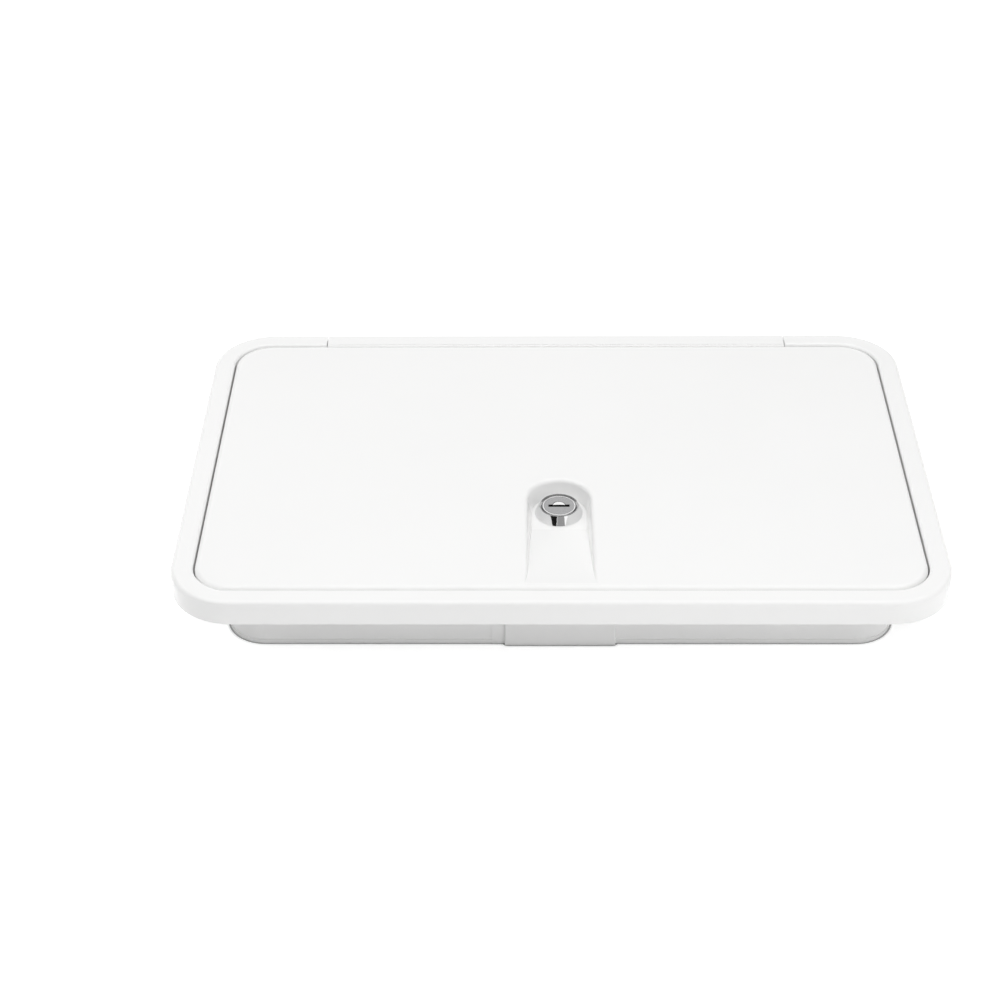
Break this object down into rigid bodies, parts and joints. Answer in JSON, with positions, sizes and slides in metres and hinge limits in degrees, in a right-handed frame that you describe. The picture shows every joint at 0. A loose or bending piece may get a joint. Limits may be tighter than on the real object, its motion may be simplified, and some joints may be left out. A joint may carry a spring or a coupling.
{
  "type": "power cord hatch",
  "caption": "White flanged wall hatch with a hinged locking lid, a collar for the wall's cut-out, a lid seal and a cam lock in a finger recess.",
  "frame": {"origin": "middle of the hatch in plan, in the plane of the collar's bottom edge", "axes": "+Z outwards through the lid's face, +Y towards the hinge edge, +X along the long side, to the right seen from the opening edge"},
  "size_m": [0.388, 0.252, 0.045],
  "materials": {
    "frame_plastic": "glossy white moulded plastic",
    "keeper_plastic": "semi-gloss white moulded plastic",
    "lid_plastic": "glossy white moulded plastic",
    "seal_rubber": "matt black foam rubber",
    "pin_steel": "plain turned stainless steel",
    "rosette_chrome": "bright chrome plate",
    "plug_chrome": "satin chrome face",
    "shutter_steel": "bright steel",
    "lock_zinc": "dull zinc",
    "cam_steel": "bright zinc-plated steel"
  },
  "bodies": {
    "frame": {"frame": "frame_plastic", "latch_keeper": "keeper_plastic", "seal": "seal_rubber", "hinge_pin_left": "pin_steel", "hinge_pin_right": "pin_steel"},
    "lid": {"lid_panel": "lid_plastic", "lock_rosette": "rosette_chrome", "lock_barrel": "lock_zinc", "lock_nut": "lock_zinc"},
    "lock": {"lock_plug": "plug_chrome", "keyway_shutter": "shutter_steel", "lock_cam": "cam_steel", "cam_screw": "cam_steel"}
  },
  "joints": [
    {"name": "lid_hinge", "type": "hinge", "parent": "frame", "child": "lid", "pos_m": [0, 0.1214, 0.0415], "axis": [-1, 0, 0], "range_deg": [0, 110]},
    {"name": "lock_turn", "type": "hinge", "parent": "lid", "child": "lock", "pos_m": [0, -0.038, 0.045], "axis": [0, 0, -1], "range_deg": [0, 90]}
  ]
}
